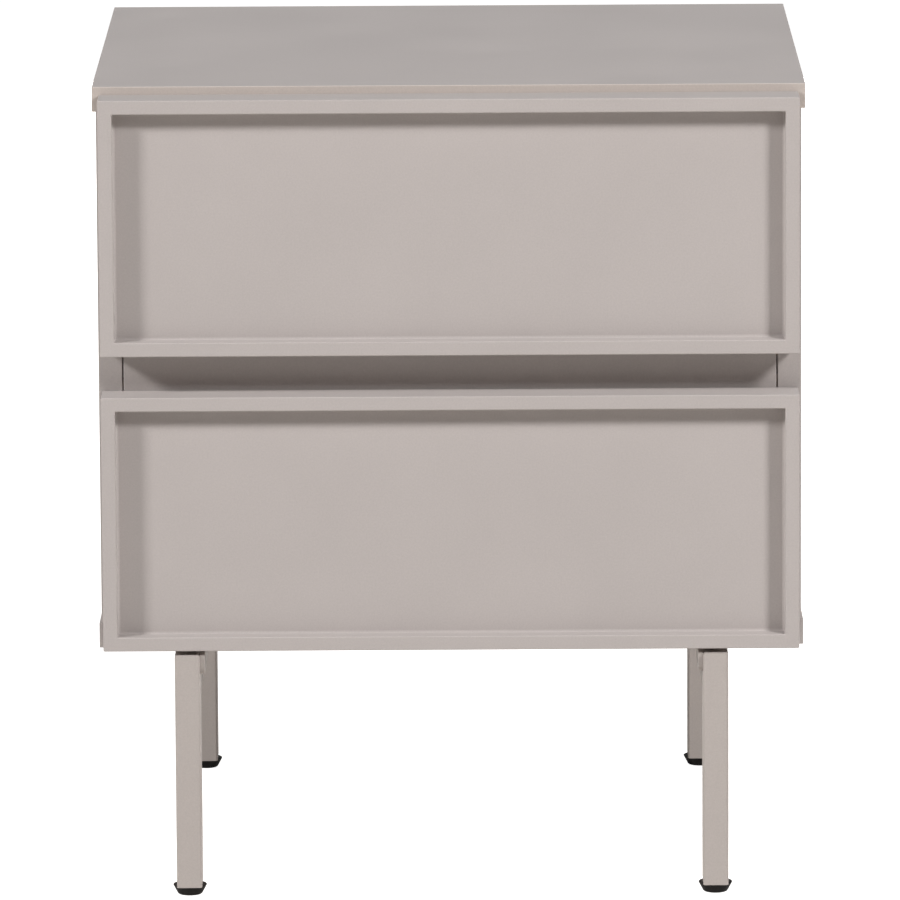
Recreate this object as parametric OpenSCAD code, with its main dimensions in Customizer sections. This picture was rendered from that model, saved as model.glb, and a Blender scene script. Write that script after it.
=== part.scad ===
// Bedside cabinet: a lacquered case with two recessed-front drawers on two steel leg frames.
// Origin on the floor under the middle of the outer box. +Z is up, the drawer fronts face -Y.

/* [Case] */
// Width of the top panel
cabinet_w = 450; // [420:5:600]
// Depth of the case behind the drawer fronts
case_d = 400; // [390:5:480]
// Thickness of the top and bottom panels
panel_t = 16; // [16:1:19]
// Thickness of the side panels
side_t = 15; // [15:1:18]
// Overhang of the top panel past each side panel
top_overhang = 2.5; // [1:0.5:4]
// Overhang of the bottom panel past each side panel
bottom_overhang = 1.5; // [0.5:0.5:4]
// Thickness of the back panel
back_t = 4; // [3:0.5:5]
// Height of the rail between the two drawers
rail_h = 40; // [36:1:44]
// Open joint at each end of that rail
rail_joint = 0.8; // [0.5:0.1:1]

/* [Drawer fronts] */
// Height of one drawer front
front_h = 163; // [160:1:190]
// Depth of one drawer front
front_t = 28; // [26:1:32]
// Depth of the recess in a drawer front
recess = 12; // [10:1:16]
// Width of the raised rim around the recess
rim_w = 9; // [8:1:14]
// Distance from the edge of the top panel to the side of a drawer front
front_inset = 4.5; // [4:0.5:6]
// Height of the finger gap between the two fronts
grip_gap = 26; // [22:1:32]
// Strip of the top panel's edge left bare above the upper front
top_reveal = 5; // [4:1:8]
// Strip of the bottom panel's edge left bare below the lower front
bottom_reveal = 3; // [2:1:5]
// Gap between a closed front and the case
front_gap = 1; // [1:0.5:2]

/* [Drawer boxes] */
// Thickness of the box sides, front and back
box_t = 15; // [15:1:16]
// Height of the box
box_h = 125; // [110:1:125]
// Length of the box
box_d = 350; // [340:5:360]
// Height of the box above the lower edge of its front
box_rise = 20; // [20:1:22]
// Thickness of the box bottom
bottom_t = 5; // [4:0.5:6]

/* [Slides] */
// Length of a ball-bearing slide
slide_l = 350; // [340:5:350]
// Height of a slide
slide_h = 45; // [45:0.5:46]
// How far a drawer pulls out
drawer_travel = 340; // [280:5:340]

/* [Leg frames] */
// Height of the underside of the case above the floor
leg_h = 157; // [120:1:200]
// Width of the leg tube, seen from the front
tube_w = 16; // [15:0.5:20]
// Depth of the leg tube, seen from the side
tube_d = 28; // [25:0.5:30]
// Wall of the leg tube
tube_wall = 1.5; // [1.2:0.1:2]
// Outer corner radius of the leg tube
tube_r = 1.5; // [1:0.25:2]
// Distance from a side panel's face to the outer face of the leg tube
leg_inset = 47; // [20:1:80]
// Distance from the back of the case to the rear face of the rear leg
rear_setback = 9; // [0:1:40]
// Height of a glide below the tube
glide_h = 6.5; // [5:0.5:9]
// Widest diameter of a glide
glide_w = 21.4; // [20:0.2:24]

/* [Hidden] */

$fn = 48;
LACQUER = [0.74, 0.70, 0.68];
BOARD = [0.80, 0.77, 0.74];
ZINC = [0.72, 0.74, 0.76];
BEECH = [0.80, 0.66, 0.46];
BLACK = [0.08, 0.08, 0.08];

// Planes of the case
total_d = case_d + front_t + front_gap;
face_y = -total_d / 2;
case_y = face_y + front_t + front_gap;
back_y = total_d / 2;
body_h = top_reveal + 2 * front_h + grip_gap + bottom_reveal;
top_z = leg_h + body_h;
floor_z = leg_h + panel_t;
ceiling_z = top_z - panel_t;
side_x = cabinet_w / 2 - top_overhang;
inner_x = side_x - side_t;
side_mid_x = side_x - side_t / 2;

// Drawer fronts: height of the lower edge of each
lower_z = leg_h + bottom_reveal;
upper_z = lower_z + front_h + grip_gap;
front_x = cabinet_w / 2 - front_inset;
front_back_y = face_y + front_t;
panel_y = face_y + recess;
gap_z = lower_z + front_h + grip_gap / 2;

// Back panel in its rebate
rebate = 8;
back_x = inner_x + side_t / 2;
back_face_y = back_y - back_t;

// Wooden dowels
dowel_r = 4;
dowel_long = 20;
dowel_short = 10;
dowel_ys = [case_y + 40, (case_y + back_y) / 2, back_y - 50];
fit = 0.05;
drill_extra = 0.5;

// Countersunk screws
screw_l = 13;
screw_head_r = 3.3;
screw_r = 1.6;
screw_head_h = 1.7;
screw_tip_h = 2;
cross_l = 3.2;
cross_w = 0.7;
cross_h = 0.8;
back_screw_zs = [for (f = [0.06, 0.35, 0.65, 0.94]) floor_z + f * (ceiling_z - floor_z)];

// Slide section: u runs from the side panel towards the drawer, v is height from the middle
slide_t = 12.7;
steel_t = 1.2;
case_rail_depth = 9.6;
case_rail_lip = 2.7;
middle_u = 2.6;
middle_depth = 8.4;
middle_lip = 2.6;
middle_half_h = slide_h / 2 - 5.3;
drawer_rail_depth = 7.5;
drawer_rail_half_h = slide_h / 2 - 10.3;
slide_front_y = case_y + 2;
slide_rise = box_rise + box_h / 2;
slide_screw_ys = [slide_front_y + 35, slide_front_y + 163, slide_front_y + 291];

// Ball cages: a thin strip with two rows of balls
cage_t = 0.7;
cage_flange_t = 0.4;
cage_l = slide_l - drawer_travel / 2 - 20;
cage_y = slide_front_y + drawer_travel / 4 + 8.5;
cage_balls = 6;
outer_cage_u = 1.55;
outer_ball_u = 6;
outer_ball_r = 1.7;
outer_ball_v = slide_h / 2 - 3.25;
inner_cage_u = 4.1;
inner_ball_u = 7.3;
inner_ball_r = 1.6;
inner_ball_v = slide_h / 2 - 8.4;

// Drawer box between its slides
box_x = inner_x - slide_t;
box_back_y = front_back_y + box_d;
groove_d = 6;
groove_rise = 8;
front_bite = 6;
front_screw_xs = [-130, 130];
front_screw_rises = [30, 100];

// Leg frames
leg_x = side_x - leg_inset - tube_w / 2;
frame_back_y = back_y - rear_setback;
plug_gap = 0.2;
plug_h = 14;
bracket_t = 3;
bracket_l = 63;
bracket_flange_l = 36;
bracket_h = 13;
bracket_w = 25;
bracket_r = 6;
bracket_front_y = face_y + 4;
bracket_rear_y = frame_back_y - tube_d - 14 - bracket_l;
bracket_screw_r = 2;
bracket_screw_inset = 8;
bracket_screw_pitch = 11;
bracket_screw_l = 13;
bracket_head_r = 4;
bracket_head_h = 2.2;
pad_r = 4;
pad_t = 0.9;

// ---------------------------------------------------------------- helpers

// Block between two opposite corners
module slab(low, high) {
    translate(low) cube(high - low);
}

// Extrude a section drawn in x and z along y
module along_y(y0, y1) {
    translate([0, y1, 0]) rotate([90, 0, 0]) linear_extrude(y1 - y0) children();
}

// Extrude a section drawn in y and z along x
module along_x(x0, x1) {
    translate([x0, 0, 0]) rotate([90, 0, 90]) linear_extrude(x1 - x0) children();
}

module right_hand() {
    mirror([1, 0, 0]) children();
}

module both_hands() {
    children();
    right_hand() children();
}

// Countersunk screw with its head flush at z = 0 and its point down
module screw() {
    difference() {
        screw_body(0);
        slab([-cross_l / 2, -cross_w / 2, -cross_h], [cross_l / 2, cross_w / 2, 1]);
        slab([-cross_w / 2, -cross_l / 2, -cross_h], [cross_w / 2, cross_l / 2, 1]);
    }
}

// The same outline, grown to make its hole
module screw_body(grow) {
    shank_h = screw_l - screw_head_h - screw_tip_h;
    translate([0, 0, -screw_head_h]) cylinder(screw_head_h, screw_r + grow, screw_head_r + grow);
    translate([0, 0, -screw_head_h - shank_h]) cylinder(shank_h, r = screw_r + grow);
    translate([0, 0, -screw_l]) cylinder(screw_tip_h, 0.4 + grow, screw_r + grow);
}

// ---------------------------------------------------------------- case

// Pocket of the back panel
module back_rebate() {
    slab([-back_x, back_face_y, floor_z - rebate], [back_x, back_y + 1, ceiling_z + rebate]);
}

// Dowels between the side panels and the top and bottom panels, grown when they make holes
module edge_dowels(grow, extra) {
    long = dowel_long + extra;
    short = dowel_short + extra;
    for (x = [-side_mid_x, side_mid_x], y = dowel_ys) {
        translate([x, y, ceiling_z - long]) cylinder(long + short, r = dowel_r + grow);
        translate([x, y, floor_z - short]) cylinder(long + short, r = dowel_r + grow);
    }
}

// Dowels between the side panels and the middle rail
module rail_dowels(grow, extra) {
    long = dowel_long + extra;
    short = dowel_short + extra;
    for (s = [-1, 1], dz = [-rail_h / 4, rail_h / 4])
        translate([s > 0 ? inner_x - long : -inner_x - short, case_y + panel_t / 2, gap_z + dz])
            rotate([0, 90, 0]) cylinder(long + short, r = dowel_r + grow);
}

// Screws of the back panel
module back_screws(grow) {
    for (s = [-1, 1], z = back_screw_zs)
        translate([s * (inner_x + back_x) / 2, back_y, z]) rotate([-90, 0, 0]) screw_shape(grow);
    for (x = [-inner_x / 2, inner_x / 2], z = [floor_z - rebate / 2, ceiling_z + rebate / 2])
        translate([x, back_y, z]) rotate([-90, 0, 0]) screw_shape(grow);
}

// Screws that hold the left-hand case rail of the slide at height z
module case_rail_screws(z, grow) {
    for (y = slide_screw_ys)
        translate([-inner_x + steel_t, y, z]) rotate([0, 90, 0]) screw_shape(grow);
}

module screw_shape(grow) {
    if (grow > 0) screw_body(grow);
    else screw();
}

module top_panel() {
    color(LACQUER) difference() {
        slab([-cabinet_w / 2, case_y, ceiling_z], [cabinet_w / 2, back_y, top_z]);
        back_rebate();
        edge_dowels(fit, drill_extra);
        back_screws(fit);
    }
}

module bottom_panel() {
    bottom_x = side_x + bottom_overhang;
    color(LACQUER) difference() {
        slab([-bottom_x, case_y, leg_h], [bottom_x, back_y, floor_z]);
        back_rebate();
        edge_dowels(fit, drill_extra);
        back_screws(fit);
        both_hands() bracket_screw_set(fit);
    }
}

module left_side_panel() {
    color(LACQUER) difference() {
        slab([-side_x, case_y, floor_z], [-inner_x, back_y, ceiling_z]);
        back_rebate();
        edge_dowels(fit, drill_extra);
        rail_dowels(fit, drill_extra);
        back_screws(fit);
        for (z = [lower_z, upper_z]) case_rail_screws(z + slide_rise, fit);
    }
}

module right_side_panel() {
    right_hand() left_side_panel();
}

module back_panel() {
    color(BOARD) difference() {
        slab([-back_x, back_face_y, floor_z - rebate], [back_x, back_y, ceiling_z + rebate]);
        back_screws(fit);
    }
}

module middle_rail() {
    rail_x = inner_x - rail_joint;
    color(LACQUER) difference() {
        slab([-rail_x, case_y, gap_z - rail_h / 2], [rail_x, case_y + panel_t, gap_z + rail_h / 2]);
        rail_dowels(fit, drill_extra);
    }
}

module case_dowels() {
    color(BEECH) {
        edge_dowels(0, 0);
        rail_dowels(0, 0);
    }
}

module case_screws() {
    color(ZINC) {
        back_screws(0);
        for (z = [lower_z, upper_z]) both_hands() case_rail_screws(z + slide_rise, 0);
    }
}

// Soft pads on the front edges of the side panels, which stop the drawers
module bumper_pads() {
    color("gainsboro")
        for (x = [-side_mid_x, side_mid_x], z = [lower_z, upper_z], rise = [20, front_h - 25])
            translate([x, case_y, z + rise]) rotate([90, 0, 0]) cylinder(pad_t, r = pad_r);
}

// ---------------------------------------------------------------- leg frames

// Rounded section of the tube, about the origin: a is its size along the first axis
module tube_section(a, b) {
    difference() {
        union() {
            square([a - 2 * tube_r, b], center = true);
            square([a, b - 2 * tube_r], center = true);
            for (u = [-1, 1], v = [-1, 1])
                translate([u * (a / 2 - tube_r), v * (b / 2 - tube_r)]) circle(tube_r);
        }
        square([a - 2 * tube_wall, b - 2 * tube_wall], center = true);
    }
}

// Upright tube with its front face at y0, mitred at the top towards the back
module upright(y0) {
    intersection() {
        translate([-leg_x, y0 + tube_d / 2, glide_h])
            linear_extrude(leg_h - glide_h) tube_section(tube_w, tube_d);
        along_x(-leg_x - tube_w, -leg_x + tube_w)
            polygon([[y0, 0], [y0 + tube_d, 0], [y0 + tube_d, leg_h - tube_d], [y0, leg_h]]);
    }
}

module left_front_leg() {
    color(LACQUER) upright(face_y);
}

module left_rear_leg() {
    mid_y = (face_y + frame_back_y) / 2;
    color(LACQUER) translate([0, 2 * mid_y, 0]) mirror([0, 1, 0]) upright(face_y);
}

module left_top_tube() {
    color(LACQUER) intersection() {
        translate([-leg_x, 0, leg_h - tube_d / 2])
            along_y(face_y, frame_back_y) tube_section(tube_w, tube_d);
        along_x(-leg_x - tube_w, -leg_x + tube_w)
            polygon([
                [face_y, leg_h],
                [face_y + tube_d, leg_h - tube_d],
                [frame_back_y - tube_d, leg_h - tube_d],
                [frame_back_y, leg_h]
            ]);
    }
}

module right_top_tube() {
    right_hand() left_top_tube();
}

module right_front_leg() {
    right_hand() left_front_leg();
}

module right_rear_leg() {
    right_hand() left_rear_leg();
}

// Outline of the bracket's upright flange, with round lower corners
module bracket_outline() {
    translate([0, bracket_r]) square([bracket_l, bracket_h - bracket_r]);
    translate([bracket_r, 0]) square([bracket_l - 2 * bracket_r, bracket_h]);
    for (y = [bracket_r, bracket_l - bracket_r]) translate([y, bracket_r]) circle(bracket_r);
}

// Angle bracket on the inner face of the left leg frame, starting at y0. Only its rear part has a
// flange under the case
module bracket(y0) {
    x0 = -leg_x + tube_w / 2;
    difference() {
        union() {
            translate([0, y0, leg_h - bracket_h]) along_x(x0, x0 + bracket_t) bracket_outline();
            slab([x0, y0 + bracket_l - bracket_flange_l, leg_h - bracket_t],
                 [x0 + bracket_w, y0 + bracket_l, leg_h]);
        }
        for (y = bracket_screw_ys(y0))
            translate([bracket_screw_x(), y, leg_h - bracket_t - 1])
                cylinder(bracket_t + 2, r = bracket_screw_r + 0.2);
    }
}

function bracket_screw_x() = -leg_x + tube_w / 2 + bracket_w - bracket_screw_inset;
function bracket_screw_ys(y0) = [for (i = [1, 0]) y0 + bracket_l - bracket_screw_inset - i * bracket_screw_pitch];

// Screws of the two left brackets, or their pilot holes
module bracket_screw_set(grow) {
    for (y0 = [bracket_front_y, bracket_rear_y], y = bracket_screw_ys(y0))
        translate([bracket_screw_x(), y, leg_h - bracket_t]) {
            cylinder(bracket_screw_l, r = bracket_screw_r + grow);
            if (grow == 0) difference() {
                translate([0, 0, -bracket_head_h]) cylinder(bracket_head_h, r = bracket_head_r);
                translate([0, 0, -bracket_head_h]) cube([4.5, 0.9, 2], center = true);
                translate([0, 0, -bracket_head_h]) cube([0.9, 4.5, 2], center = true);
            }
        }
}

module leg_brackets() {
    color(LACQUER) both_hands() {
        bracket(bracket_front_y);
        bracket(bracket_rear_y);
    }
}

module bracket_screws() {
    color(ZINC) both_hands() bracket_screw_set(0);
}

// Bowl-shaped glide under the tube at (x, y), with a plug inside the tube
module glide(x, y) {
    foot_r = 6.3;
    corner_r = 2;
    lip = 0.4;
    plug = [tube_w - 2 * tube_wall - plug_gap, tube_d - 2 * tube_wall - plug_gap, plug_h];
    corner = [for (a = [-90:15:-15]) [foot_r + corner_r * cos(a), corner_r + corner_r * sin(a)]];
    color(BLACK) translate([x, y, 0]) {
        rotate_extrude() polygon(concat(
            [[0, 0]], corner, [[glide_w / 2, glide_h - lip], [glide_w / 2 - lip, glide_h], [0, glide_h]]
        ));
        translate([-plug[0] / 2, -plug[1] / 2, glide_h]) cube(plug);
    }
}

module left_front_glide() {
    glide(-leg_x, face_y + tube_d / 2);
}

module left_rear_glide() {
    glide(-leg_x, frame_back_y - tube_d / 2);
}

module right_front_glide() {
    glide(leg_x, face_y + tube_d / 2);
}

module right_rear_glide() {
    glide(leg_x, frame_back_y - tube_d / 2);
}

// ---------------------------------------------------------------- slides

// Channel section with its web at u = 0 and lips turned inwards
module channel(depth, half_h, lip) {
    translate([0, -half_h]) square([steel_t, 2 * half_h]);
    for (s = [-1, 1]) {
        flange_v = s > 0 ? half_h - steel_t : -half_h;
        lip_v = s > 0 ? half_h - steel_t - lip : -half_h;
        translate([0, flange_v]) square([depth, steel_t]);
        translate([depth - steel_t, lip_v]) square([steel_t, steel_t + lip]);
    }
}

// Place a slide section, drawn in u and v, on the left side panel at height z
module on_left_side(z, y0, y1) {
    translate([-inner_x, 0, z]) along_y(y0, y1) children();
}

module case_rail(z) {
    color(ZINC) difference() {
        on_left_side(z, slide_front_y, slide_front_y + slide_l)
            channel(case_rail_depth, slide_h / 2, case_rail_lip);
        case_rail_screws(z, fit);
    }
}

module middle_slide(z) {
    color(ZINC) difference() {
        on_left_side(z, slide_front_y, slide_front_y + slide_l)
            translate([middle_u, 0]) channel(middle_depth, middle_half_h, middle_lip);
        for (y = slide_screw_ys)
            translate([-inner_x, y, z]) rotate([0, 90, 0]) cylinder(middle_u + 3, r = 5);
    }
}

module drawer_rail(z) {
    color(ZINC) difference() {
        on_left_side(z, slide_front_y, slide_front_y + slide_l - 6)
            translate([slide_t, 0]) mirror([1, 0]) channel(drawer_rail_depth, drawer_rail_half_h, 0);
        drawer_rail_screws(z, fit);
    }
}

module drawer_rail_screws(z, grow) {
    for (y = slide_screw_ys)
        translate([-box_x - steel_t, y, z]) rotate([0, -90, 0]) screw_shape(grow);
}

// Strip at u0 whose two flanges carry rows of balls at height v either side of the middle
module ball_cage(z, u0, ball_u, ball_v, ball_r) {
    pitch = cage_l / cage_balls;
    color(ZINC) {
        on_left_side(z, cage_y, cage_y + cage_l) {
            translate([u0, -ball_v]) square([cage_t, 2 * ball_v]);
            for (s = [-1, 1])
                translate([u0, s * ball_v - cage_flange_t / 2]) square([ball_u - u0 + 1, cage_flange_t]);
        }
        for (s = [-1, 1], i = [0:cage_balls - 1])
            translate([-inner_x + ball_u, cage_y + (i + 0.5) * pitch, z + s * ball_v]) sphere(ball_r);
    }
}

module outer_ball_cages(z) {
    both_hands() ball_cage(z, outer_cage_u, outer_ball_u, outer_ball_v, outer_ball_r);
}

module inner_ball_cages(z) {
    both_hands() ball_cage(z, inner_cage_u, inner_ball_u, inner_ball_v, inner_ball_r);
}

// ---------------------------------------------------------------- drawers, z is the front's lower edge

// Screws of one drawer: its front and its two slides
module drawer_screws(z, grow) {
    for (x = front_screw_xs, rise = front_screw_rises)
        translate([x, front_back_y + front_bite, z + box_rise + rise])
            rotate([-90, 0, 0]) screw_shape(grow);
    both_hands() drawer_rail_screws(z + slide_rise, grow);
}

module front_panel(z) {
    color(LACQUER) difference() {
        slab([-front_x + rim_w, panel_y, z + rim_w], [front_x - rim_w, front_back_y, z + front_h - rim_w]);
        drawer_screws(z, fit);
    }
}

// Strip of the rim along the lower edge, mitred at both ends
module rim_rail(length) {
    along_y(face_y, front_back_y) polygon([
        [-length / 2, 0], [length / 2, 0], [length / 2 - rim_w, rim_w], [-length / 2 + rim_w, rim_w]
    ]);
}

module rim_bottom(z) {
    color(LACQUER) translate([0, 0, z]) rim_rail(2 * front_x);
}

module rim_top(z) {
    color(LACQUER) translate([0, 0, z + front_h]) mirror([0, 0, 1]) rim_rail(2 * front_x);
}

module rim_left(z) {
    color(LACQUER) translate([-front_x, 0, z + front_h / 2]) rotate([0, 90, 0]) rim_rail(front_h);
}

module rim_right(z) {
    right_hand() rim_left(z);
}

// Block that the box bottom fills, which also cuts its groove
module bottom_board(z) {
    rise = z + box_rise + groove_rise;
    inside_x = box_x - box_t + groove_d;
    slab([-inside_x, front_back_y + box_t - groove_d, rise],
         [inside_x, box_back_y - box_t + groove_d, rise + bottom_t]);
}

module box_side(z) {
    color(BOARD) difference() {
        slab([-box_x, front_back_y, z + box_rise], [-box_x + box_t, box_back_y, z + box_rise + box_h]);
        bottom_board(z);
        drawer_screws(z, fit);
    }
}

module box_end(z, y0) {
    end_x = box_x - box_t;
    color(BOARD) difference() {
        slab([-end_x, y0, z + box_rise], [end_x, y0 + box_t, z + box_rise + box_h]);
        bottom_board(z);
        drawer_screws(z, fit);
        for (x = front_screw_xs, rise = front_screw_rises)
            translate([x, front_back_y + box_t + 1, z + box_rise + rise])
                rotate([90, 0, 0]) cylinder(box_t + 1 - front_bite, r = screw_head_r + 1);
    }
}

module box_bottom(z) {
    color(BOARD) bottom_board(z);
}

module box_front(z) {
    box_end(z, front_back_y);
}

module box_back(z) {
    box_end(z, box_back_y - box_t);
}

// ---------------------------------------------------------------- assembly

top_panel();
bottom_panel();
left_side_panel();
right_side_panel();
back_panel();
middle_rail();
case_dowels();
case_screws();
bumper_pads();
left_top_tube();
left_front_leg();
left_rear_leg();
right_top_tube();
right_front_leg();
right_rear_leg();
leg_brackets();
bracket_screws();
left_front_glide();
left_rear_glide();
right_front_glide();
right_rear_glide();
case_rail(upper_z + slide_rise);  // upper_left_case_rail
right_hand() case_rail(upper_z + slide_rise);  // upper_right_case_rail
case_rail(lower_z + slide_rise);  // lower_left_case_rail
right_hand() case_rail(lower_z + slide_rise);  // lower_right_case_rail
middle_slide(upper_z + slide_rise);  // upper_left_middle_slide
right_hand() middle_slide(upper_z + slide_rise);  // upper_right_middle_slide
middle_slide(lower_z + slide_rise);  // lower_left_middle_slide
right_hand() middle_slide(lower_z + slide_rise);  // lower_right_middle_slide
outer_ball_cages(upper_z + slide_rise);  // upper_outer_ball_cages
inner_ball_cages(upper_z + slide_rise);  // upper_inner_ball_cages
outer_ball_cages(lower_z + slide_rise);  // lower_outer_ball_cages
inner_ball_cages(lower_z + slide_rise);  // lower_inner_ball_cages
front_panel(upper_z);  // upper_front_panel
rim_top(upper_z);  // upper_rim_top
rim_bottom(upper_z);  // upper_rim_bottom
rim_left(upper_z);  // upper_rim_left
rim_right(upper_z);  // upper_rim_right
box_side(upper_z);  // upper_box_left
right_hand() box_side(upper_z);  // upper_box_right
box_front(upper_z);  // upper_box_front
box_back(upper_z);  // upper_box_back
box_bottom(upper_z);  // upper_box_bottom
drawer_rail(upper_z + slide_rise);  // upper_left_drawer_rail
right_hand() drawer_rail(upper_z + slide_rise);  // upper_right_drawer_rail
color(ZINC) drawer_screws(upper_z, 0);  // upper_drawer_screws
front_panel(lower_z);  // lower_front_panel
rim_top(lower_z);  // lower_rim_top
rim_bottom(lower_z);  // lower_rim_bottom
rim_left(lower_z);  // lower_rim_left
rim_right(lower_z);  // lower_rim_right
box_side(lower_z);  // lower_box_left
right_hand() box_side(lower_z);  // lower_box_right
box_front(lower_z);  // lower_box_front
box_back(lower_z);  // lower_box_back
box_bottom(lower_z);  // lower_box_bottom
drawer_rail(lower_z + slide_rise);  // lower_left_drawer_rail
right_hand() drawer_rail(lower_z + slide_rise);  // lower_right_drawer_rail
color(ZINC) drawer_screws(lower_z, 0);  // lower_drawer_screws
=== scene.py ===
"""Bedside cabinet with two drawers: looks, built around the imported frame.

Everything is in metres in the row frame: +Z up, the drawer fronts face -Y, the floor is z = 0.
"""
import math

import bmesh
import bpy
from mathutils import Matrix, Vector


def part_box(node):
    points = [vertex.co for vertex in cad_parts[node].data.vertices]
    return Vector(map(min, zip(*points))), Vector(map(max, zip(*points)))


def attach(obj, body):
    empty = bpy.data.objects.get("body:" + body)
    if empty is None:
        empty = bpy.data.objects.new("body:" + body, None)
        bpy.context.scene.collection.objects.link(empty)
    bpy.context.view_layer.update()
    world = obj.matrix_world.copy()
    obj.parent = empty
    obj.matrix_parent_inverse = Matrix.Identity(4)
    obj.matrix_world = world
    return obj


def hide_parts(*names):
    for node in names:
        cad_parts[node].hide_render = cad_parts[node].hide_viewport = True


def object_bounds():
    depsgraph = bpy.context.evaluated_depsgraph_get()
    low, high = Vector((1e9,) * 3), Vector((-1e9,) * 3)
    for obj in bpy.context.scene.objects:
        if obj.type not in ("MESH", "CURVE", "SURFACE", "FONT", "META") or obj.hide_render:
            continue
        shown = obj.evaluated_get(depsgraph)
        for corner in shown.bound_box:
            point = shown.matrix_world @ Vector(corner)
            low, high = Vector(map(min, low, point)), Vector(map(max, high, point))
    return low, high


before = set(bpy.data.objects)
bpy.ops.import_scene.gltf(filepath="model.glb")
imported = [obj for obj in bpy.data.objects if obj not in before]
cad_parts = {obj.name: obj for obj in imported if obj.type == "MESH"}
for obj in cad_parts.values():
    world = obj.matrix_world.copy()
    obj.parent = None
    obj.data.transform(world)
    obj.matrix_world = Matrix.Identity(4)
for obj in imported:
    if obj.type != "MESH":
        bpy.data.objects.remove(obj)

CAD_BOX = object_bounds()
MM = 0.001

# ------------------------------------------------------------------ driving values

BOARD_ARRIS = 0.5 * MM       # rounding of the lacquered board edges
TOP_ARRIS = 0.7 * MM         # the top panel's edges are eased a little more
RIM_ARRIS = 0.8 * MM         # rounding of the drawer rim's front edges
RIM_CORNER = 0.9 * MM        # rounding of the rim's mitred corners
LACQUER_FILLET = 1.5 * MM    # lacquer that fills the corner between rim and recessed panel
EDGE_BAND = 0.5 * MM         # thickness of the edging on the panels' front edges

WALL_PIGMENT = (0.503, 0.459, 0.443)     # greige lacquer, linear
EDGE_PIGMENT = (0.579, 0.513, 0.472)     # warmer edging
STEEL_PIGMENT = (0.502, 0.453, 0.427)    # powder coat
FLOOR_LIFT = 0.90            # keeps the floor white around the cabinet's own shadow

STUDIO_SEEN = 1.0            # strength of the pale studio to the camera
STUDIO_MIRRORED = 0.17       # and to the reflections
SKY_TINT = (0.92, 0.98, 1.0)
COOL_TINT = (0.88, 0.96, 1.0)
WARM_TINT = (1.0, 0.86, 0.78)

CAMERA_PLACE = (0.0083, -5.9471, 1.2960)
CAMERA_HEADING = 0.085       # degrees to the left of +Y
CAMERA_DIP = 9.966           # degrees below the horizon
CAMERA_ROLL = -0.323         # degrees
CAMERA_LENS = 368.95         # mm, on a sensor 36 mm wide

# ------------------------------------------------------------------ node graphs


class Graph:
    """A Principled material and short calls that add nodes to it."""

    def __init__(self, name, roughness=0.5, metallic=0.0, **sockets):
        self.mat = bpy.data.materials.new(name)
        self.mat.use_nodes = True
        self.tree = self.mat.node_tree
        self.shader = self.tree.nodes["Principled BSDF"]
        self.shader.inputs["Roughness"].default_value = roughness
        self.shader.inputs["Metallic"].default_value = metallic
        for socket, value in sockets.items():
            self.shader.inputs[socket.replace("_", " ")].default_value = value
        self.place = self.add("ShaderNodeTexCoord").outputs["Object"]

    def add(self, kind, inputs=None, **settings):
        node = self.tree.nodes.new(kind)
        for key, value in settings.items():
            setattr(node, key, value)
        for key, value in (inputs or {}).items():
            if isinstance(value, bpy.types.NodeSocket):
                self.tree.links.new(value, node.inputs[key])
            else:
                node.inputs[key].default_value = value
        return node

    def stretched(self, factors):
        """The object's coordinates, stretched along the axes."""
        node = self.add("ShaderNodeVectorMath", {0: self.place, 1: factors}, operation="MULTIPLY")
        return node.outputs[0]

    def noise(self, size, detail=2.0, rough=0.5, along=None, low=0.3, high=0.7):
        """Noise whose features measure size metres, spread over 0 to 1."""
        where = self.stretched(along) if along else self.place
        values = {"Vector": where, "Scale": 1 / size, "Detail": detail, "Roughness": rough}
        raw = self.add("ShaderNodeTexNoise", values).outputs[0]
        return self.spread(raw, low, high, 0.0, 1.0)

    def spread(self, value, low, high, to_low, to_high):
        """Maps low..high to to_low..to_high and clamps."""
        values = {0: value, 1: low, 2: high, 3: to_low, 4: to_high}
        return self.add("ShaderNodeMapRange", values).outputs[0]

    def maths(self, operation, a, b=0.0):
        return self.add("ShaderNodeMath", {0: a, 1: b}, operation=operation).outputs[0]

    def mix(self, share, a, b):
        """Colour a where share is 0, colour b where it is 1."""
        node = self.add("ShaderNodeMix", data_type="RGBA")
        for socket, value in zip((node.inputs[0], node.inputs[6], node.inputs[7]), (share, a, b)):
            if isinstance(value, bpy.types.NodeSocket):
                self.tree.links.new(value, socket)
            elif isinstance(value, tuple):
                socket.default_value = (*value, 1.0)
            else:
                socket.default_value = value
        return node.outputs[2]

    def axis(self, name):
        """The object coordinate along X, Y or Z."""
        return self.add("ShaderNodeSeparateXYZ", {0: self.place}).outputs[name]

    def on_arris(self):
        """1 on rounded edges and in fillets, 0 on the flats, which all lie along the axes."""
        facing = self.add("ShaderNodeTexCoord").outputs["Normal"]
        parts = self.add("ShaderNodeSeparateXYZ", {0: facing}).outputs
        x, y, z = (self.maths("ABSOLUTE", part) for part in parts)
        flat = self.maths("MAXIMUM", self.maths("MAXIMUM", x, y), z)
        return self.spread(flat, 0.80, 0.985, 1.0, 0.0)

    def link(self, value, socket):
        self.tree.links.new(value, self.shader.inputs[socket])

    def bump(self, height, depth, strength=1.0, below=None):
        values = {"Height": height, "Distance": depth, "Strength": strength}
        if below is not None:
            values["Normal"] = below
        return self.add("ShaderNodeBump", values).outputs[0]


def shade(colour, factor):
    return tuple(c * factor for c in colour)


# ------------------------------------------------------------------ materials


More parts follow.
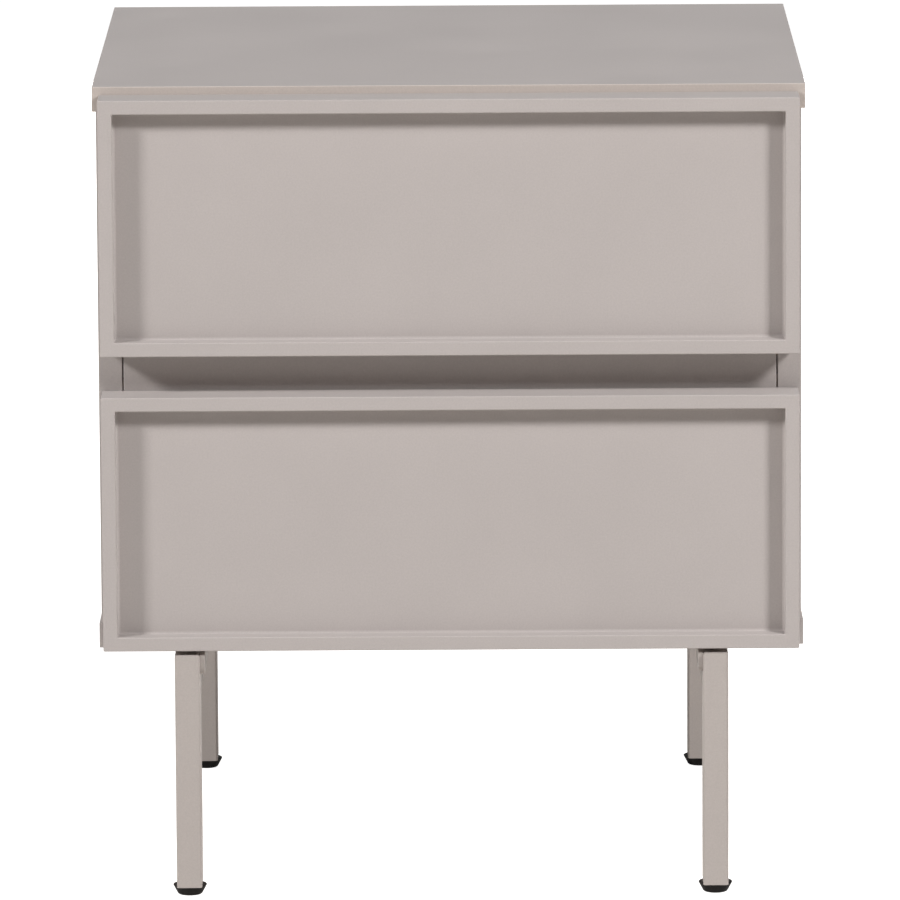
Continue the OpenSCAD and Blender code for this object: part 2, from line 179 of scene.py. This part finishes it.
def lacquer(name, pigment=WALL_PIGMENT, roughness=0.42, gloss=0.45, retro=0.4, edging_y=None,
            arris_highlight_and_wear=0.17):
    """Sprayed satin lacquer: a faint mottle, orange peel, and dust nibs.

    retro flattens the falloff of grazing light; edging_y is the plane in front of which the
    warmer edging shows; arris_highlight_and_wear is how far the rounded edges and lacquer fillets
    go towards a paler tone, mostly a painted highlight and partly the paler thin coat on worn
    edges.
    """
    g = Graph(name, roughness, Specular_IOR_Level=gloss, Diffuse_Roughness=retro)
    cloud = g.noise(60 * MM, 3.0)
    speckle = g.noise(1.1 * MM, 2.0, 0.6)
    tone = g.mix(cloud, shade(pigment, 0.985), shade(pigment, 1.015))
    if edging_y is not None:
        in_front = g.maths("LESS_THAN", g.axis("Y"), edging_y)
        tone = g.mix(in_front, tone, EDGE_PIGMENT)
    # painted highlight: rounded edges and fillets are mixed towards a paler tone, partly also the
    # thin coat on worn edges
    tone = g.mix(g.maths("MULTIPLY", g.on_arris(), arris_highlight_and_wear), tone, shade(pigment, 1.6))
    mottled = g.add("ShaderNodeMix", data_type="RGBA", blend_type="MULTIPLY")
    g.tree.links.new(tone, mottled.inputs[6])
    grain = g.mix(speckle, (0.955, 0.955, 0.955), (1.03, 1.03, 1.03))
    g.tree.links.new(grain, mottled.inputs[7])
    mottled.inputs[0].default_value = 1.0
    g.link(mottled.outputs[2], "Base Color")
    g.link(g.spread(cloud, 0.0, 1.0, roughness - 0.03, roughness + 0.04), "Roughness")
    peel = g.bump(g.noise(2.4 * MM, 1.0), 0.012 * MM)
    g.link(g.bump(speckle, 0.006 * MM, below=peel), "Normal")
    return g.mat


def powder_coat(name):
    """Powder coat on steel: a tighter, deeper orange peel than the lacquer."""
    g = Graph(name, 0.46, Specular_IOR_Level=0.5, Diffuse_Roughness=0.4)
    cloud = g.noise(25 * MM, 2.0)
    speckle = g.noise(0.9 * MM, 2.0, 0.6)
    grain = g.mix(speckle, shade(STEEL_PIGMENT, 0.955), shade(STEEL_PIGMENT, 1.035))
    # painted highlight: the rounded edges of the tubes are mixed towards a paler tone
    painted_arris_highlight = g.maths("MULTIPLY", g.on_arris(), 0.15)
    g.link(g.mix(painted_arris_highlight, grain, shade(STEEL_PIGMENT, 1.4)), "Base Color")
    g.link(g.spread(cloud, 0.0, 1.0, 0.41, 0.52), "Roughness")
    peel = g.bump(g.noise(1.3 * MM, 1.0), 0.016 * MM)
    g.link(g.bump(speckle, 0.006 * MM, below=peel), "Normal")
    return g.mat


def moulded_black(name):
    """Black polymer with a spark-eroded surface, scuffed grey where it stands on the floor."""
    g = Graph(name, 0.42, Specular_IOR_Level=0.3)
    grain = g.noise(0.35 * MM, 2.0)
    scuff_zone = g.spread(g.axis("Z"), 0.2 * MM, 1.2 * MM, 1.0, 0.0)
    scuff = g.maths("MULTIPLY", scuff_zone, g.noise(1.5 * MM, 4.0, along=(1, 1, 0.3)))
    clean = g.mix(grain, (0.005, 0.004, 0.004), (0.010, 0.008, 0.008))
    g.link(g.mix(scuff, clean, (0.10, 0.095, 0.09)), "Base Color")
    g.link(g.spread(scuff, 0.0, 1.0, 0.40, 0.75), "Roughness")
    g.link(g.bump(grain, 0.02 * MM), "Normal")
    return g.mat


def melamine(name):
    """Melamine-faced board for the drawer boxes, with a fine linen emboss."""
    pigment = (0.530, 0.490, 0.460)
    g = Graph(name, 0.55, Specular_IOR_Level=0.4)
    warp = g.noise(0.5 * MM, 1.0, along=(1, 0.12, 1))
    weft = g.noise(0.5 * MM, 1.0, along=(0.12, 1, 0.12))
    weave = g.maths("MULTIPLY", warp, weft)
    cloud = g.noise(40 * MM, 3.0)
    tone = g.mix(weave, shade(pigment, 0.95), shade(pigment, 1.05))
    g.link(g.mix(g.maths("MULTIPLY", cloud, 0.25), tone, shade(pigment, 0.9)), "Base Color")
    g.link(g.spread(cloud, 0.0, 1.0, 0.50, 0.60), "Roughness")
    g.link(g.bump(weave, 0.03 * MM), "Normal")
    return g.mat


def hardboard(name):
    """Painted hardboard: short matted fibres under a thin matt coat."""
    pigment = (0.455, 0.415, 0.390)
    g = Graph(name, 0.72, Specular_IOR_Level=0.3)
    fibre_a = g.noise(0.8 * MM, 3.0, 0.65, along=(0.25, 1, 1))
    fibre_b = g.noise(0.8 * MM, 3.0, 0.65, along=(1, 1, 0.25))
    fibres = g.maths("MAXIMUM", fibre_a, fibre_b)
    cloud = g.noise(90 * MM, 4.0)
    tone = g.mix(fibres, shade(pigment, 0.88), shade(pigment, 1.05))
    g.link(g.mix(g.maths("MULTIPLY", cloud, 0.3), tone, shade(pigment, 0.92)), "Base Color")
    g.link(g.spread(fibres, 0.0, 1.0, 0.66, 0.80), "Roughness")
    g.link(g.bump(fibres, 0.05 * MM), "Normal")
    return g.mat


def zinc(name, colour=(0.60, 0.61, 0.63), roughness=0.32, streak=(1, 0.02, 1)):
    """Dull zinc-plated steel with rolling streaks and a faint bluish and straw passivation."""
    g = Graph(name, roughness, 0.7)
    lines = g.noise(0.5 * MM, 3.0, along=streak)
    bloom = g.noise(9 * MM, 3.0)
    tint = g.mix(bloom, shade(colour, 0.93), (colour[0] * 1.04, colour[1] * 1.01, colour[2] * 0.93))
    g.link(g.mix(g.maths("MULTIPLY", lines, 0.35), tint, shade(colour, 0.8)), "Base Color")
    g.link(g.spread(lines, 0.0, 1.0, roughness - 0.06, roughness + 0.12), "Roughness")
    g.link(g.bump(lines, 0.01 * MM), "Normal")
    return g.mat


def polished_steel(name):
    """Ball cages: bright steel with a film of grease."""
    colour = (0.64, 0.64, 0.65)
    g = Graph(name, 0.18, 1.0)
    film = g.noise(3 * MM, 3.0)
    g.link(g.mix(film, colour, shade(colour, 0.82)), "Base Color")
    g.link(g.spread(film, 0.0, 1.0, 0.12, 0.34), "Roughness")
    return g.mat


def clear_pad(name):
    """Soft polyurethane dome with a little dust on it."""
    g = Graph(name, 0.25, Specular_IOR_Level=0.5, IOR=1.46, Coat_Weight=0.3)
    dust = g.noise(0.7 * MM, 3.0)
    g.link(g.mix(dust, (0.70, 0.69, 0.66), (0.60, 0.58, 0.55)), "Base Color")
    g.link(g.spread(dust, 0.0, 1.0, 0.2, 0.42), "Roughness")
    return g.mat


def beech(name):
    """Beech dowel: long grain with short darker flecks."""
    g = Graph(name, 0.6, Specular_IOR_Level=0.35)
    grain = g.noise(1.2 * MM, 4.0, 0.6, along=(1, 1, 0.08))
    fleck = g.noise(0.6 * MM, 2.0, along=(1, 1, 0.2), low=0.58, high=0.66)
    tone = g.mix(grain, (0.60, 0.42, 0.25), (0.47, 0.30, 0.16))
    g.link(g.mix(g.maths("MULTIPLY", fleck, 0.5), tone, (0.30, 0.18, 0.09)), "Base Color")
    g.link(g.spread(grain, 0.0, 1.0, 0.55, 0.7), "Roughness")
    g.link(g.bump(grain, 0.03 * MM), "Normal")
    return g.mat


# ------------------------------------------------------------------ mesh helpers


def arc(centre, radius, start, end, steps):
    """Points on an arc in a plane; the angles are in degrees."""
    turns = [math.radians(start + (end - start) * i / steps) for i in range(steps + 1)]
    return [(centre[0] + radius * math.cos(t), centre[1] + radius * math.sin(t)) for t in turns]


def finish_mesh(bm, name, material):
    """Turns a bmesh into a piece with one material."""
    bmesh.ops.recalc_face_normals(bm, faces=bm.faces)
    for face in bm.faces:
        face.smooth = True
    mesh = bpy.data.meshes.new(name)
    bm.to_mesh(mesh)
    bm.free()
    mesh.materials.append(material)
    piece = bpy.data.objects.new(name, mesh)
    bpy.context.scene.collection.objects.link(piece)
    even_normals(piece)
    return piece


def even_normals(piece):
    """Flat faces shade flat and the small roundings between them shade smooth."""
    normals = piece.modifiers.new("even_normals", "WEIGHTED_NORMAL")
    normals.weight = 100
    normals.keep_sharp = False


def skin_loops(bm, loops, close_ring=True):
    """Faces between successive closed loops of vertices."""
    rings = [[bm.verts.new(point) for point in loop] for loop in loops]
    pairs = list(zip(rings, rings[1:]))
    if close_ring:
        pairs.append((rings[-1], rings[0]))
    for ring, following in pairs:
        for i in range(len(ring)):
            k = (i + 1) % len(ring)
            bm.faces.new((ring[i], ring[k], following[k], following[i]))
    return rings


def lathe(bm, profile, centre, segments):
    """Turns (radius, height) points about a vertical line.

    A first or last point of no radius closes that end.
    """
    x0, y0, z0 = centre
    turns = [2 * math.pi * i / segments for i in range(segments)]
    loops = []
    for radius, height in profile:
        if radius > 0:
            z = z0 + height
            loops.append([(x0 + radius * math.cos(t), y0 + radius * math.sin(t), z) for t in turns])
    rings = skin_loops(bm, loops, close_ring=False)
    for point, ring in ((profile[0], rings[0]), (profile[-1], rings[-1])):
        if point[0] == 0:
            tip = bm.verts.new((x0, y0, z0 + point[1]))
            for i in range(segments):
                bm.faces.new((ring[i], ring[(i + 1) % segments], tip))


# ------------------------------------------------------------------ pieces


def drawer_rim(which, material):
    """The four mitred strips of a drawer's rim, lacquered into one seamless frame."""
    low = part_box(f"{which}_rim_bottom")[0]
    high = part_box(f"{which}_rim_top")[1]
    panel_low, panel_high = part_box(f"{which}_front_panel")
    width = panel_low.x - low.x
    front, back, panel = low.y, high.y, panel_low.y
    fillet, arris, back_arris, toe = LACQUER_FILLET, RIM_ARRIS, 0.4 * MM, 0.3 * MM
    # section: u runs inwards from the outer face, then y
    section = [(back_arris, back), (0.0, back - back_arris)]
    section += arc((arris, front + arris), arris, 180, 270, 5)
    section += arc((width - arris, front + arris), arris, 270, 360, 5)
    section += [(width, panel - fillet)]
    section += arc((width + fillet, panel - fillet), fillet, 180, 90, 5)[1:]
    section += [(width + fillet, panel + toe), (width, panel + toe), (width, back)]
    centre = (low + high) / 2
    half_w, half_h = (high.x - low.x) / 2, (high.z - low.z) / 2

    def outline(inset, y):
        reach_x, reach_z = half_w - inset - RIM_CORNER, half_h - inset - RIM_CORNER
        points = []
        for sx, sz, start in ((1, 1, 0), (-1, 1, 90), (-1, -1, 180), (1, -1, 270)):
            corner = (centre.x + sx * reach_x, centre.z + sz * reach_z)
            points += arc(corner, RIM_CORNER, start, start + 90, 4)
        return [(x, y, z) for x, z in points]

    bm = bmesh.new()
    skin_loops(bm, [outline(u, y) for u, y in section])
    piece = finish_mesh(bm, f"{which}_rim", material)
    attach(piece, f"{which}_drawer")
    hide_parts(*[f"{which}_rim_{side}" for side in ("top", "bottom", "left", "right")])


def glide(node, material):
    """Bowl-shaped glide: a hollow-based bowl under a ribbed plug that grips the tube."""
    low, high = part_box(node)
    centre = Vector(((low.x + high.x) / 2, (low.y + high.y) / 2, 0.0))
    wide, top_z = 10.7 * MM, 6.5 * MM
    foot_r, corner_r, lip_r = 6.3 * MM, 2.0 * MM, 0.4 * MM
    profile = [(0.0, 0.5 * MM), (4.4 * MM, 0.5 * MM), (4.9 * MM, 0.1 * MM), (5.3 * MM, 0.0)]
    profile += arc((foot_r, corner_r), corner_r, -90, -20, 7)
    profile += arc((wide - lip_r, top_z - lip_r), lip_r, -20, 90, 5)
    profile += [(0.0, top_z)]
    bm = bmesh.new()
    lathe(bm, profile, centre, 72)
    plug_block(bm, low, high, centre, top_z)
    piece = finish_mesh(bm, node.replace("glide", "bowl_glide"), material)
    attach(piece, "cabinet")
    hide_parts(node)


def plug_block(bm, low, high, centre, bottom):
    """Plug with three grip ribs round it, drawn as stacked rectangles."""
    half_y = (high.y - low.y) / 2
    half_x = 6.4 * MM
    slim, pitch = 0.5 * MM, 4.4 * MM
    levels = [(slim, bottom)]
    for i in range(3):
        base = bottom + 0.8 * MM + i * pitch
        levels += [(slim, base), (0.0, base + 0.8 * MM)]
        levels += [(0.0, base + 1.4 * MM), (slim, base + 3.4 * MM)]
    levels += [(slim + 0.8 * MM, high.z)]
    corners = ((1, 1), (-1, 1), (-1, -1), (1, -1))
    loops = []
    for inset, z in levels:
        x, y = half_x - inset, half_y - inset
        loops.append([(centre.x + sx * x, centre.y + sy * y, z) for sx, sy in corners])
    rings = skin_loops(bm, loops, close_ring=False)
    bm.faces.new(rings[0])
    bm.faces.new(rings[-1])


# ------------------------------------------------------------------ CAD nodes


def mark_outline(node):
    """Marks the edges where two sides of the node's box meet."""
    low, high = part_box(node)
    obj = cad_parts[node]
    reach = 0.01 * MM
    touched = []
    for vertex in obj.data.vertices:
        place = obj.matrix_world @ vertex.co
        sides = {(i, 0) for i in range(3) if abs(place[i] - low[i]) < reach}
        touched.append(sides | {(i, 1) for i in range(3) if abs(place[i] - high[i]) < reach})
    marks = obj.data.attributes.new("bevel_weight_edge", "FLOAT", "EDGE")
    for edge in obj.data.edges:
        shared = touched[edge.vertices[0]] & touched[edge.vertices[1]]
        if len(shared) == 2:
            marks.data[edge.index].value = 1.0


def dress(node, materials, arris=0.0, segments=3, outline=False):
    """Gives a CAD node its materials and rounds its edges.

    With outline only the edges of the node's own box are rounded, not those of holes and grooves.
    """
    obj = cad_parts[node]
    obj.data.materials.clear()
    for material in materials:
        obj.data.materials.append(material)
    if outline:
        mark_outline(node)
    weld = obj.modifiers.new("weld", "WELD")
    weld.merge_threshold = 0.002 * MM
    if arris:
        plan = obj.modifiers.new("plan", "DECIMATE")
        plan.decimate_type = "DISSOLVE"
        plan.angle_limit = math.radians(1)
        bevel = obj.modifiers.new("arris", "BEVEL")
        bevel.width = arris
        bevel.segments = segments
        bevel.limit_method = "WEIGHT" if outline else "ANGLE"
        bevel.angle_limit = math.radians(30)
        bevel.use_clamp_overlap = not outline
        bevel.loop_slide = not outline
        bevel.miter_outer = "MITER_ARC"
    even_normals(obj)


# ------------------------------------------------------------------ assembly

CASE_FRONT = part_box("top_panel")[0].y

front_lacquer = lacquer("front_lacquer", roughness=0.50, gloss=0.25, retro=0.28)
case_lacquer = lacquer("case_lacquer")
top_lacquer = lacquer("top_lacquer", edging_y=CASE_FRONT + EDGE_BAND, arris_highlight_and_wear=0.4)
steel_coat = powder_coat("powder_coat")
black = moulded_black("moulded_black")
box_board = melamine("melamine_board")
back_board = hardboard("painted_hardboard")
slide_zinc = zinc("zinc_plated_steel")
screw_zinc = zinc("zinc_plated_screw", (0.56, 0.56, 0.55), 0.3, (1, 1, 1))
bright = polished_steel("bright_steel")
pad = clear_pad("clear_pad")
dowel = beech("beech")

for panel in ("bottom_panel", "left_side_panel", "right_side_panel", "middle_rail"):
    dress(panel, [case_lacquer], BOARD_ARRIS, outline=True)
dress("top_panel", [top_lacquer], TOP_ARRIS, outline=True)
dress("back_panel", [back_board], 0.3 * MM, 2, outline=True)
dress("case_dowels", [dowel], 0.3 * MM, 2)
dress("case_screws", [screw_zinc])
dress("bumper_pads", [pad], 0.5 * MM, 3)
dress("bracket_screws", [screw_zinc], 0.3 * MM, 2)
dress("leg_brackets", [steel_coat], 0.5 * MM)

for hand in ("left", "right"):
    for part in ("top_tube", "front_leg", "rear_leg"):
        dress(f"{hand}_{part}", [steel_coat], 0.6 * MM)
    for place in ("front", "rear"):
        glide(f"{hand}_{place}_glide", black)

for which in ("upper", "lower"):
    drawer_rim(which, front_lacquer)
    dress(f"{which}_front_panel", [front_lacquer], 0.2 * MM, 2)
    for side in ("left", "right", "front", "back"):
        dress(f"{which}_box_{side}", [box_board], 0.5 * MM, 2, outline=True)
    dress(f"{which}_box_bottom", [box_board], 0.2 * MM, 1)
    dress(f"{which}_drawer_screws", [screw_zinc])
    for hand in ("left", "right"):
        for part in ("case_rail", "middle_slide", "drawer_rail"):
            dress(f"{which}_{hand}_{part}", [slide_zinc], 0.3 * MM, 2)
    for row in ("outer", "inner"):
        dress(f"{which}_{row}_ball_cages", [bright])

# ------------------------------------------------------------------ stage, light and camera


def make_floor():
    bm = bmesh.new()
    bmesh.ops.create_circle(bm, cap_ends=True, cap_tris=False, segments=96, radius=40.0)
    mesh = bpy.data.meshes.new("floor")
    bm.to_mesh(mesh)
    bm.free()
    floor = bpy.data.objects.new("floor", mesh)
    bpy.context.scene.collection.objects.link(floor)
    g = Graph("floor", 1.0, Specular_IOR_Level=0.0)
    g.shader.inputs["Base Color"].default_value = (0.80, 0.77, 0.73, 1.0)
    g.shader.inputs["Emission Color"].default_value = (1.0, 1.0, 1.0, 1.0)
    path = g.add("ShaderNodeLightPath")
    g.link(g.maths("MULTIPLY", path.outputs["Is Camera Ray"], FLOOR_LIFT), "Emission Strength")
    mesh.materials.append(g.mat)


def make_world(seen, mirrored):
    """A pale studio that lights nothing.

    seen is its strength to the camera, mirrored its strength to reflections.
    """
    world = bpy.data.worlds.new("studio")
    bpy.context.scene.world = world
    world.use_nodes = True
    tree = world.node_tree
    path = tree.nodes.new("ShaderNodeLightPath")
    strength = None
    for ray, value in (("Is Camera Ray", seen), ("Is Glossy Ray", mirrored)):
        share = tree.nodes.new("ShaderNodeMath")
        share.operation = "MULTIPLY_ADD"
        tree.links.new(path.outputs[ray], share.inputs[0])
        share.inputs[1].default_value = value
        share.inputs[2].default_value = 0.0
        if strength:
            tree.links.new(strength, share.inputs[2])
        strength = share.outputs[0]
    tree.links.new(strength, tree.nodes["Background"].inputs["Strength"])
    tree.nodes["Background"].inputs["Color"].default_value = (1.0, 1.0, 1.0, 1.0)


def softbox(name, place, size, power, colour=(1.0, 1.0, 1.0)):
    """A square area light that faces the middle of the cabinet; reflections don't see it."""
    middle = (CAD_BOX[0] + CAD_BOX[1]) / 2
    data = bpy.data.lights.new(name, "AREA")
    data.size = size
    data.energy = power
    data.color = colour
    lamp = bpy.data.objects.new(name, data)
    bpy.context.scene.collection.objects.link(lamp)
    lamp.location = place
    lamp.rotation_euler = (Vector(place) - middle).to_track_quat("Z", "Y").to_euler()
    lamp.visible_camera = False
    lamp.visible_glossy = False


def make_camera():
    """Long lens, a little right of centre, looking down on the cabinet from the front."""
    data = bpy.data.cameras.new("camera")
    data.sensor_width = 36.0
    data.lens = CAMERA_LENS
    data.clip_start, data.clip_end = 0.1, 100.0
    camera = bpy.data.objects.new("camera", data)
    bpy.context.scene.collection.objects.link(camera)
    heading = Matrix.Rotation(math.radians(CAMERA_HEADING), 4, "Z")
    tilt = Matrix.Rotation(math.radians(90 - CAMERA_DIP), 4, "X")
    roll = Matrix.Rotation(math.radians(CAMERA_ROLL), 4, "Z")
    camera.matrix_world = Matrix.Translation(CAMERA_PLACE) @ (heading @ tilt @ roll)
    bpy.context.scene.camera = camera


make_floor()
make_world(STUDIO_SEEN, STUDIO_MIRRORED)
softbox("key_left", (-4.91, -3.11, 3.43), 1.0, 278)
softbox("key_right", (3.07, -3.11, 3.02), 0.85, 172)
softbox("overhead", (0.0, 0.3, 3.4), 2.2, 5, SKY_TINT)
softbox("back_left", (-2.2, 2.3, 1.8), 1.4, 12, COOL_TINT)
softbox("back_right", (2.2, 2.3, 1.8), 1.4, 24, COOL_TINT)
softbox("fill_front", (0.0, -4.2, 0.9), 2.4, 4, WARM_TINT)
softbox("fill_back", (0.0, 3.6, 0.7), 1.8, 45)
make_camera()
bpy.context.scene.view_settings.view_transform = "Standard"
